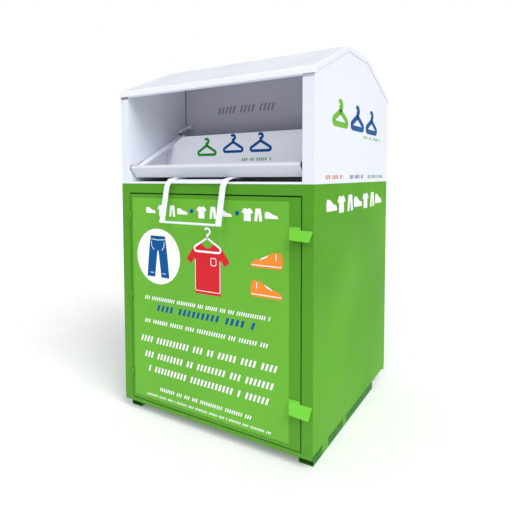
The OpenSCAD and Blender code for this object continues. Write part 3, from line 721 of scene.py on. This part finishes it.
# %% Rest stops
STOP_ROD, HOLDER_T, HOLDER_R, BALL_R = 0.010, 0.003, 0.009, 0.011
PAD_HALF_W, PAD_HALF_H, PAD_DEEP = 0.020, 0.018, 0.012
BUMPER_SHARE = 0.8
bumper_lo, bumper_hi = low("stop_bumpers"), high("stop_bumpers")
bumper_x = bumper_hi[0] - BUMPER_SHARE * (bumper_hi[2] - bumper_lo[2])
for sign, side in ((-1, "left"), (1, "right")):
    lo, hi = low("rest_stop_" + side), high("rest_stop_" + side)
    foot = np.array([sign * bumper_x, (bumper_lo[1] + bumper_hi[1]) / 2, bumper_hi[2]])
    pad_x = (lo if sign > 0 else hi)[0] + sign * PAD_HALF_W
    pad_z = hi[2] - PAD_HALF_H
    elbow = foot + (0, 0, HOLDER_T + STOP_ROD)
    rod_end = np.array([pad_x, baffle_face - PAD_DEEP / 2, pad_z])
    t = np.linspace(-0.98, 0.98, 13)  # a ball: at height t its radius is root(1 - t squared)
    ball = elbow + np.stack([0 * t, 0 * t, t], 1) * BALL_R
    mesh = mesh_of("stop", [
        rod([elbow, rod_end], STOP_ROD, (1, 0, 0)),
        rod([foot, foot + (0, 0, HOLDER_T)], HOLDER_R, (0, 1, 0)),
        rod(ball, BALL_R * np.sqrt(1 - t * t), (0, 1, 0)),
    ])
    piece("rest_stop_rod_" + side, "cabinet", mesh, paints["tray_white"],
          ("rest_stop_" + side,), edge=0.0005)
    x0, x1, z0, z1 = pad_x - PAD_HALF_W, pad_x + PAD_HALF_W, pad_z - PAD_HALF_H, pad_z + PAD_HALF_H
    loop = np.array([[x0, z0], [x1, z0], [x1, z1], [x0, z1]])
    mesh = mesh_of("pad", [carried(loop, 1, baffle_face - PAD_DEEP, baffle_face)])
    # the pads take the rear panel's grey, which is painted shade
    piece("rest_stop_pad_" + side, "cabinet", mesh, paints["baffle"], (), edge=0.001)
print("rest stops at x =", neat(bumper_x), "left and right")

# %% Painted shade in the rear corners
CORNER_BEAD_R, CORNER_BEAD_UNEVEN, CORNER_BEAD_IN, CORNER_BEAD_SHORT = 0.0027, 0.0004, 0.0012, 0.012
z = np.linspace(high("rest_stop_left")[2], high("baffle")[2] - CORNER_BEAD_SHORT, 60)
radius = CORNER_BEAD_R + CORNER_BEAD_UNEVEN * np.sin(z * 210) * np.sin(z * 47)  # two waves of unlike length
for sign, side in ((-1, "left"), (1, "right")):
    x = np.full_like(z, sign * (open_half - CORNER_BEAD_IN))
    path = np.stack([x, np.full_like(z, baffle_face - CORNER_BEAD_IN), z], 1)
    mesh = mesh_of("bead", [rod(path, radius, (1, 0, 0), 10)])
    # a dark grey bead as painted shade in the gap at each rear corner
    piece("corner_shade_bead_" + side, "cabinet", mesh, paints["sealant"], ())
print("sealant", neat(z[-1] - z[0]), "long")

# %% [markdown]
# ## Door
# The door is a sheet on a frame of tubes, with a printed film on its face. The
# tubes show when it swings open, so they are real tubes with round corners. The
# sheet and the film are flat, and softened copies of their solids will do.

# %% Door sheet, tubes and rails
DOOR_TUBE_WALL, DOOR_TUBE_ROUND = 0.002, 0.004
softened("door_skin", edge=0.0012)
softened("door_sign", "hinge_knuckles_frame", "hinge_knuckles_door", "hinge_pins", edge=0.0005)
for node in ("door_tube_left", "door_tube_right"):
    tube = mesh_of(node, [hollow(low(node), high(node), DOOR_TUBE_WALL, DOOR_TUBE_ROUND, 2)])
    piece(node + "_tube", "door", tube, paints["frame_green"], (node,), edge=0.0003)
softened("door_rails", edge=0.0012)
print("door", neat(span("door_skin")))

# %% [markdown]
# ## Lock hoods
# Each lock sits under a bent cover that keeps rain and thieves off. Its sides
# are cut on a slant, so it is wider at the wall than at its lower edge. Welds
# hold it. A weld could be a bump in the paint, but from the side a bump is
# flat, so each bead is a real rod with a rippled radius.

# %% Weld beads
def weld(name, body, points, radius, finish, pitch=0.0045):
    """A bead along a path: a round bar whose radius swells and shrinks by a
    sixth, once each pitch, as the welder's hand leaves it. Both ends taper."""
    points = np.asarray(points, float)
    run = np.concatenate([[0], np.cumsum(np.linalg.norm(np.diff(points, axis=0), axis=1))])
    s = np.linspace(0, run[-1], max(8, int(run[-1] / pitch * 6)))
    path = np.stack([np.interp(s, run, points[:, i]) for i in range(3)], 1)
    ripple = radius * (1 + np.sin(s / pitch * 2 * math.pi) / 6)
    ripple[[0, -1]] *= 0.4
    mesh = mesh_of(name, [rod(path, ripple, (0.3, 0.5, 0.2), 10)])
    return piece(name, body, mesh, paints[finish], ())


# %% Lock hoods and locks
WELD_R, WELD_IN, WELD_DOWN, WELD_SHORT = 0.0021, 0.001, 0.016, 0.002
door_edge = high("door_skin")[0]
for node in ("lock_hood_lower", "lock_hood_upper"):
    # the lock hoods take the lighter green, a painted highlight on their sloping faces
    softened(node, edge=0.0009, steps=3, finish="hood_green")
    lo, hi = low(node), high(node)
    y = front - WELD_IN
    bead = [(lo[0], y, hi[2] - WELD_DOWN), (lo[0], y, hi[2]), (door_edge - WELD_SHORT, y, hi[2])]
    weld(node + "_weld", "door", bead, WELD_R, "frame_green")
for end in ("lower", "upper"):
    softened("lock_body_" + end, "lock_plug_" + end, "lock_cam_" + end, edge=0.0004)
print("lock hoods", neat(hi - lo))

# %% [markdown]
# ## Hopper
# The tray is one bent sheet with a plate welded on at each end. Its lip is folded twice, so that no
# raw edge meets a hand or a bag. The plates' flanges are folded down along their inner edges for
# the same reason. Black strips on the plates' ends are painted shade, for the dark gaps between the
# tray and the recess walls. Each of these is a line in the section of the tray, carried sideways,
# so they share the depths and heights named first.

# %% Hopper tray
LIP_REAR, LIP_FOOT, LIP_TOP, NOSE_UP = 0.070, 0.048, 0.014, 0.052
LIP_BEND, EDGE_IN = 0.0035, 0.004
softened("hopper_floor", "hopper_back", edge=0.0007)
softened("pivot_pin_left", "pivot_pin_right", "pivot_washers", edge=0.0007)
softened("hopper_side_left", "hopper_side_right", edge=0.0007, finish="white")
lip_lo, lip_hi = low("hopper_lip"), high("hopper_lip")
nose_z = lip_lo[2] + NOSE_UP
lip_path = [
    (front + LIP_REAR, lip_lo[2]), (front + LIP_FOOT, lip_lo[2]), (lip_lo[1], nose_z),
    (front + LIP_TOP, lip_hi[2]),
]
lip = folded(lip_path, LIP_BEND, -sheet, 0, lip_lo[0], lip_hi[0] - EDGE_IN)
mesh = mesh_of("hopper_lip", [lip])
# the lip takes the darker white, which is painted shade
piece("hopper_lip_fold", "hopper", mesh, paints["lip_white"], ("hopper_lip",),
      edge=0.0006)
print("lip", neat(lip_hi[0] - EDGE_IN - lip_lo[0]), "wide")

# %% Hems of the end plates' flanges
HEM, HEM_LAP = 0.013, 0.04
for sign, side in ((-1, "left"), (1, "right")):
    plate = corners("hopper_side_" + side)
    across = np.abs(plate[:, 0])
    inner = plate[across < across.min() + ON_LIMIT]
    start, end = inner[inner[:, 1].argmin()], inner[inner[:, 1].argmax()]
    along = unit((end - start)[1:])
    down = np.array([along[1], -along[0]]) * HEM
    lap = down * HEM_LAP
    loop = np.array([start[1:] - lap, end[1:] - lap, end[1:] + down, start[1:] + down])
    mesh = mesh_of("hem", [carried(loop, 0, *sorted((start[0], start[0] + sign * sheet)))])
    # the hems take the darker white, which is painted shade
    piece("flange_hem_" + side, "hopper", mesh, paints["lip_white"], (), edge=0.0006)
print("hems", neat(np.linalg.norm(end - start)), "long")

# %% Painted shade on the hopper's ends
# A black strip stands for the shade in the gap at each end of the tray. It stands out past both
# plates, and on the right it also laps the inner side.
EDGE_OUT, EDGE_W, EDGE_T, EDGE_BEND = 0.0035, 0.014, 0.0008, 0.004
EDGE_LIFT, PLATE_FLAT, PLATE_REAR, PLATE_RISE = 0.002, 0.056, 0.110, 0.0276
top_z = lip_hi[2] + EDGE_T
edge_path = [
    (front + LIP_FOOT, lip_lo[2] + EDGE_LIFT), (lip_lo[1] - EDGE_T, nose_z),
    (front + LIP_TOP, top_z), (front + PLATE_FLAT, top_z), (front + PLATE_REAR, top_z + PLATE_RISE),
]
plate_x = high("hopper_side_right")[0]
for sign, side, inside in ((-1, "left", 0), (1, "right", EDGE_IN + sheet)):
    ends = sorted((sign * (plate_x - inside), sign * (plate_x + EDGE_OUT)))
    mesh = mesh_of("edging", [folded(edge_path, EDGE_BEND, -EDGE_W, 0, *ends)])
    # a black strip as painted shade in the gap beside each plate
    piece("plate_edging_" + side, "hopper", mesh, paints["rubber"], (), edge=0.0008)
print("shade strips on plates at x =", neat(plate_x))

# %% [markdown]
# ## Handle
# Two flat arms are bent down from under the tray, with a round grip between
# their tips and a flat bar between their shoulders. A curve with a bevel could
# make them, but a flat bar can twist there. A section carried sideways keeps
# both arms square, and gives every bend its own inside and outside.

# %% Arms
ARM_T, ARM_BEND = 0.006, 0.014
ARM_LINE = ((0.110, 0), (0.040, 0), (-0.008, 0.009), (-0.038, 0.041))  # depth, drop
grip_lo, grip_hi = low("handle_grip"), high("handle_grip")
grip_y, grip_z = (grip_lo[1] + grip_hi[1]) / 2, (grip_lo[2] + grip_hi[2]) / 2
arm_z = high("handle_arm_left")[2] - ARM_T / 2
arm_path = [(front + d, arm_z - drop) for d, drop in ARM_LINE] + [(grip_y, grip_z)]
line = offset(rounded(arm_path, ARM_BEND), -ARM_T / 2)
loop = np.vstack([line, offset(line, ARM_T)[::-1]])
for node in ("handle_arm_left", "handle_arm_right"):
    mesh = mesh_of(node, [carried(loop, 0, low(node)[0], high(node)[0])])
    piece(node + "_strip", "hopper", mesh, paints["white"], (node,), edge=0.0011, steps=3)
print("arms", neat(span(node)[0]), "wide")

# %% Grip, bar and bolts
GRIP_R, GRIP_END, GRIP_UNEVEN = 0.0058, 0.0004, 0.00025
RING_R, RING_WELD, BAR_WELD, BAR_IN = 0.0048, 0.0010, 0.0016, 0.002
x = np.linspace(grip_lo[0] + GRIP_END, grip_hi[0] - GRIP_END, 40)
uneven = GRIP_UNEVEN * np.sin(x * 90) * np.sin(x * 37)
path = np.stack([x, np.full_like(x, grip_y), grip_z + uneven], 1)
mesh = mesh_of("grip", [rod(path, GRIP_R, (0, 0, 1), 20)])
piece("handle_grip_bar", "hopper", mesh, paints["white"], ("handle_grip",), edge=0.0008)
softened("handle_upper_bar", edge=0.0012, steps=3)
bar_lo, bar_hi = low("handle_upper_bar"), high("handle_upper_bar")
a = np.linspace(0, 2 * math.pi, 24)
round_grip = np.stack([grip_y + RING_R * np.cos(a), grip_z + RING_R * np.sin(a)], 1)
for x, side in ((bar_lo[0], "left"), (bar_hi[0], "right")):
    bead = [(x, bar_lo[1], bar_lo[2] + BAR_IN), (x, bar_lo[1], bar_hi[2] - BAR_IN)]
    weld("bar_weld_" + side, "hopper", bead, BAR_WELD, "white")
    weld("grip_weld_" + side, "hopper", place(round_grip, 0, x), RING_WELD, "white")
softened("handle_bolts", "seam_bolts")
print("grip", neat(span("handle_grip")[0]), "long")

# %% [markdown]
# ## Print
# The door, sides, tray and recess carry plain generic print: garment shapes,
# hangers, dots and rows of leaning stitches. It could be a picture wrapped on
# the sheet, but thin meshes stay sharp at any distance. A shape is a strip
# between a lower and an upper line, or a ribbon along a path, so each one is
# again a grid of points. Sizes are in metres, and heights are from the ground.

# %% Strips, dots and ribbons
def strip(x, bottom, top, rows=3):
    """The area between two lines over the same x values."""
    v = np.linspace(0, 1, rows)[:, None]
    z = bottom[None] * (1 - v) + top[None] * v
    grid = np.stack([np.broadcast_to(x[None], z.shape), z], -1)
    return grid, squares(*z.shape)


def disc(x, z, r):
    """A round dot: half its height is the root of r squared minus the square of
    the distance from the middle. The x values crowd towards both edges."""
    bend = r * (1 - np.cos(np.linspace(0, math.pi / 2, 8)))
    t = np.concatenate([bend - r, (r - bend)[::-1]])
    h = np.sqrt(np.maximum(r * r - t * t, 1e-9))
    return strip(x + t, z - h, z + h)


def ribbon(path, width):
    """A band of a given width along a path."""
    path = np.asarray(path, float)
    grid = np.stack([offset(path, width / 2), offset(path, -width / 2)])
    return grid, squares(2, len(path))


print("a dot has", len(disc(0, 0, 1)[1]), "faces")


# %% Garments
def shirt(x, z, size):
    """A T-shirt between hem and neckline, with sleeves that hang at a slant."""
    t = np.array([-.50, -.40, -.301, -.30, -.20, -.12, -.06, 0, .06, .12, .20, .30, .301, .40, .50])
    a = np.abs(t)
    top = np.interp(a, [0, .06, .12, .20, .30, .50], [.90, .915, .97, .985, .95, .68])
    bottom = np.where(a <= .30, 0.0, np.interp(a, [.301, .40, .50], [.70, .58, .66]))
    return strip(x + t * size, z + (bottom - .5) * size, z + (top - .5) * size)


def trousers(x, z, size):
    """Trousers between two hems and a waistband."""
    t = np.array([-.34, -.30, -.26, -.22, -.10, -.02, 0, .02, .10, .22, .26, .30, .34])
    a = np.abs(t)
    top = np.interp(a, [0, .22, .26, .30, .34], [1, 1, .78, .45, .05])
    bottom = np.interp(a, [0, .02, .10, .101], [.66, .62, .0, .0])
    return strip(x + t * size, z + (bottom - .5) * size, z + (top - .5) * size)


def shoe(x, z, size, turn=1):
    """A low shoe in profile, from the heel to the toe."""
    t = np.linspace(0, 1, 17)
    at = [0, .04, .30, .42, .62, .90, .98, 1]
    top = np.interp(t, at, [.30, .46, .44, .38, .26, .20, .10, .04])
    bottom = np.interp(t, [0, .02, .97, 1], [.06, 0, 0, .03])
    return strip(x + turn * (t - .5) * size, z + (bottom - .22) * size, z + (top - .22) * size)


def hanger(x, z, size, width):
    """A wire hanger: shoulders, a rail and a hook that is most of a circle."""
    shoulders = rounded([(0, .16), (-.5, -.14), (.5, -.14), (0, .16)], .06)
    a = np.linspace(-math.pi / 2, math.pi * .85, 14)
    hook = np.vstack([[(0, .15)], np.stack([.07 * np.cos(a), .30 + .07 * np.sin(a)], 1)])
    at = np.array([x, z])
    return [ribbon(at + np.asarray(line) * size, width) for line in (shoulders, hook)]


print("a shirt has", len(shirt(0, 0, 1)[1]), "faces")


# %% Stitches and threads
def stitches(x0, x1, z, height, groups, pitch):
    """A row of leaning stitches in groups: stitch k starts at x0 plus k pitches,
    is half a pitch wide, and leans by a third of its height. After each group
    one stitch is left out."""
    count = int(round((x1 - x0) / pitch))
    left_out = np.cumsum(np.resize(groups, count) + 1) - 1
    k = np.arange(count)
    k = k[~np.isin(k, left_out)]
    middle = x0 + (k + 0.5) * (x1 - x0) / count
    dx = np.array([-0.25, 0.25, 0.25, -0.25]) * pitch + np.array([-1, -1, 1, 1]) * height / 6
    dz = np.array([-0.5, -0.5, 0.5, 0.5]) * height
    grid = np.stack([middle[:, None] + dx, np.broadcast_to(z + dz, (len(k), 4))], -1)
    return grid, np.arange(len(k) * 4).reshape(-1, 4)


def thread(x, z, size, lines, width):
    """Fine lines on a motif, given in parts of the motif's size. A line of three
    or more points gets round corners."""
    at = np.array([x, z])
    bends = [rounded(line, .03) if len(line) > 2 else np.array(line) for line in lines]
    return [ribbon(at + bend * size, width) for bend in bends]


def wide(shape, x, stretch):
    """The same shapes made wider about the line at x."""
    return [(np.stack([x + (g[..., 0] - x) * stretch, g[..., 1]], -1), f) for g, f in shape]


PRINT_T = 0.0003


def print_on(name, body, ink, shapes, axis, at):
    """Shapes laid as thin film on the plane where X (0) or Y (1) equals at."""
    parts = [(place(g, axis, at), f) for g, f in shapes]
    mesh = mesh_of(name, parts, outward=False)
    return piece(name, body, mesh, inks[ink], thick=PRINT_T)


print("a row of stitches has", len(stitches(0, 1, 0, 0.02, (3, 4), 0.02)[1]), "of them")

# %% Door print: the row of garments
ROW_Z, DOT_Z, DOT_R = 1.151, 1.155, 0.011
GARMENTS = ((shoe, 0.070), (shirt, 0.062), (trousers, 0.060))
face = low("door_sign")[1] - PRINT_T
over, top_layer = face - 2 * PRINT_T, face - 4 * PRINT_T
small = []
for k, x in enumerate((-.365, -.287, -.216, -.148, -.026, .045, .122, .243, .302, .372)):
    garment, size = GARMENTS[k % 3]
    small.append(garment(x, ROW_Z, size))
print_on("door_print_top", "door", "white", small, 1, face)
dots = [disc(x, DOT_Z, DOT_R) for x in (-0.088, 0.186)]
print_on("door_print_dots", "door", "blue", dots, 1, face)
print(len(small), "garments and", len(dots), "dots")

# %% Door print: the motifs
TROUSERS, SHIRT = (-0.318, 0.900, 0.225), (0.010, 0.865, 0.262)  # x, height and size
LOW_SHOE, HIGH_SHOE = (0.345, 0.800, 0.170), (0.345, 0.940, 0.170)
DISC_R, FINE, LACE, WIRE = 0.152, 0.0035, 0.0045, 0.010
print_on("door_print_disc", "door", "white", [disc(*TROUSERS[:2], DISC_R)], 1, face)
print_on("door_print_trousers", "door", "blue", [trousers(*TROUSERS)], 1, over)
print_on("door_print_shirt", "door", "red", [shirt(*SHIRT)], 1, face)
print_on("door_print_bag", "door", "orange", [shoe(*LOW_SHOE), shoe(*HIGH_SHOE, -1)], 1, face)
pockets = [
    [(-.20, .36), (-.19, .24), (-.12, .16)], [(.20, .36), (.19, .24), (.12, .16)],
    [(-.21, .42), (0, .40), (.21, .42)], [(-.24, -.40), (-.14, -.40)], [(.24, -.40), (.14, -.40)],
]
seams = [
    [(-.29, .17), (-.29, -.44), (.29, -.44), (.29, .17)],
    [(.08, .22), (.08, .08), (.20, .08), (.20, .22), (.08, .22)],
]
laces = [
    [(-.05, .14), (.04, .06)], [(.02, .11), (.11, .03)], [(.09, .08), (.18, .00)],
    [(-.47, -.15), (.46, -.15)], [(-.30, .19), (-.30, .02)],
]
flipped = [[(-a, b) for a, b in line] for line in laces]
lines = hanger(0.010, 0.985, 0.235, WIRE)
lines += thread(*TROUSERS, pockets, FINE) + thread(*SHIRT, seams, FINE)
lines += thread(*LOW_SHOE, laces, LACE) + thread(*HIGH_SHOE, flipped, LACE)
print_on("door_print_lines", "door", "white", lines, 1, top_layer)
print(len(lines), "fine lines over the motifs")

# %% Door print: rows of stitches
rows = [  # from x, to x, height above ground, stitch height, groups, pitch, ink
    (-0.418, 0.367, 0.666, 0.020, (3, 13, 10, 3, 6, 3), 0.0125, "white"),
    (-0.333, 0.288, 0.617, 0.034, (4, 9, 4), 0.0290, "blue"),
    (-0.421, 0.355, 0.536, 0.022, (3, 7, 6, 4, 12), 0.0150, "white"),
    (-0.451, 0.404, 0.433, 0.034, (4, 10, 3, 2, 5), 0.0225, "white"),
    (-0.425, 0.385, 0.346, 0.034, (3, 8, 2, 8), 0.0225, "white"),
    (-0.399, 0.360, 0.268, 0.034, (1, 10, 12), 0.0225, "white"),
    (-0.318, 0.277, 0.164, 0.020, (8, 3, 3, 3, 11), 0.0130, "white"),
    (-0.411, 0.370, 0.119, 0.012, (9, 6, 4, 1, 8, 4), 0.0088, "white"),
]
for ink in ("white", "blue"):
    shapes = [stitches(*row[:-1]) for row in rows if row[-1] == ink]
    print_on(f"door_print_rows_{ink}", "door", ink, shapes, 1, face)
print(len(rows), "rows of stitches")

# %% Side print
SIDE_ROW_Z, SIDE_ICON_Z, SIDE_HANGER_Z, SIDE_LINE_Z = 1.326, 1.192, 1.612, 1.545
# ink, and where a row starts and ends behind the front face
SIDE_ROWS = (("rust", .129, .384), ("blue", .469, .695), ("green", .784, 1.110))
# garment, size, and how much wider it is made
SIDE_ICONS = ((shoe, .125, 1.15), (shirt, .086, 1.35), (trousers, .084, 1.5))
for sign, side in ((-1, "left"), (1, "right")):
    at = sign * (half_width + PRINT_T)
    for ink, d0, d1 in SIDE_ROWS:
        row = stitches(front + d0, front + d1, SIDE_ROW_Z, 0.019, (3, 4, 2), 0.021)
        print_on(f"side_print_{ink}_{side}", "cabinet", ink, [row], 0, at)
    icons = []
    for k, y in enumerate(front + np.linspace(0.215, 1.015, 7)):
        garment, size, stretch = SIDE_ICONS[k % 3]
        icons += wide([garment(y, SIDE_ICON_Z, size)], y, stretch)
    print_on(f"side_print_icons_{side}", "cabinet", "white", icons, 0, at)
    for ink, depths in (("leaf", (.325,)), ("blue", (.590, .850))):
        shapes = []
        for y in front + np.array(depths):
            shapes += wide(hanger(y, SIDE_HANGER_Z, .215, .028), y, 1.30)
        if ink == "leaf":
            row = stitches(front + .700, front + 1.044, SIDE_LINE_Z, .016, (3, 2, 5), .024)
            shapes.append(row)
        print_on(f"side_print_mark_{ink}_{side}", "cabinet", ink, shapes, 0, at)
print(len(icons), "garments on each side")

# %% Tray and recess print
TRAY_HANGER, TRAY_WIRE = 0.178, 0.015
at = low("hopper_back")[1] - PRINT_T
row = stitches(0.02, 0.205, 1.424, .016, (3, 2, 5), .013)
green = hanger(-0.215, 1.482, TRAY_HANGER, TRAY_WIRE) + [row]
print_on("tray_print_green", "hopper", "green", green, 1, at)
blue = [h for x in (-0.035, 0.140) for h in hanger(x, 1.495, TRAY_HANGER, TRAY_WIRE)]
print_on("tray_print_blue", "hopper", "blue", blue, 1, at)
row = stitches(-.272, .123, 1.735, .042, (5, 4), .026)
print_on("recess_print", "cabinet", "grey", [row], 1, baffle_face - PRINT_T)
print(sum("_print" in name for name in made), "print pieces")

# %% [markdown]
# ## Floor and light
# A plain pale floor with soft light, as in a product studio. Area lamps would
# do, but each has a place where it can show or cut across a view. Two wide, soft
# suns have none. The camera sees a plain white sky, and a dimmer one lights the
# bin.

# %% Floor
FLOOR_HALF, FLOOR_GLOW = 14.0, 0.11
floor = bpy.data.objects.new("floor", bpy.data.meshes.new("floor"))
square = np.array([[-1, -1, 0], [1, -1, 0], [1, 1, 0], [-1, 1, 0]]) * FLOOR_HALF
floor.data.from_pydata(square.tolist(), [], [[0, 1, 2, 3]])
bpy.context.scene.collection.objects.link(floor)
n = Nodes("pale_floor")
grain = n.spread(n.noise(3.0, 6), 0.3, 0.7)
floor.data.materials.append(n.surface({
    "Base Color": n.mix(grain, (0.955, 0.955, 0.96, 1), (0.985, 0.985, 0.985, 1)),
    "Roughness": 0.9,
    "Emission Color": (1, 1, 1, 1),
    "Emission Strength": FLOOR_GLOW,
}))
print("floor", 2 * FLOOR_HALF, "wide")


# %% Lamps and sky
def sun(name, azimuth, height, strength, softness):
    """A far lamp: azimuth 0 shines on the front and 90 on the right side."""
    item = bpy.data.objects.new(name, bpy.data.lights.new(name, "SUN"))
    item.data.energy, item.data.angle = strength, math.radians(softness)
    item.rotation_euler = (math.radians(90 - height), 0, math.radians(azimuth))
    bpy.context.scene.collection.objects.link(item)


sun("key", azimuth=62, height=46, strength=1.88, softness=34)
sun("fill", azimuth=14, height=34, strength=0.80, softness=30)
SKY, SKY_STRENGTH = (0.96, 0.975, 1.0, 1), 0.42
world = bpy.data.worlds.new("studio")
bpy.context.scene.world = world
world.use_nodes = True
air = world.node_tree
around = air.nodes["Background"]
around.inputs["Color"].default_value = SKY
around.inputs["Strength"].default_value = SKY_STRENGTH
behind = air.nodes.new("ShaderNodeBackground")
behind.inputs["Color"].default_value = (1, 1, 1, 1)
ray = air.nodes.new("ShaderNodeLightPath")
both = air.nodes.new("ShaderNodeMixShader")
air.links.new(ray.outputs["Is Camera Ray"], both.inputs[0])
air.links.new(around.outputs[0], both.inputs[1])
air.links.new(behind.outputs[0], both.inputs[2])
air.links.new(both.outputs[0], air.nodes["World Output"].inputs["Surface"])
bpy.context.scene.view_settings.view_transform = "Standard"
print("sky strength", SKY_STRENGTH)

# %% Finish
print(len(made), "pieces made")
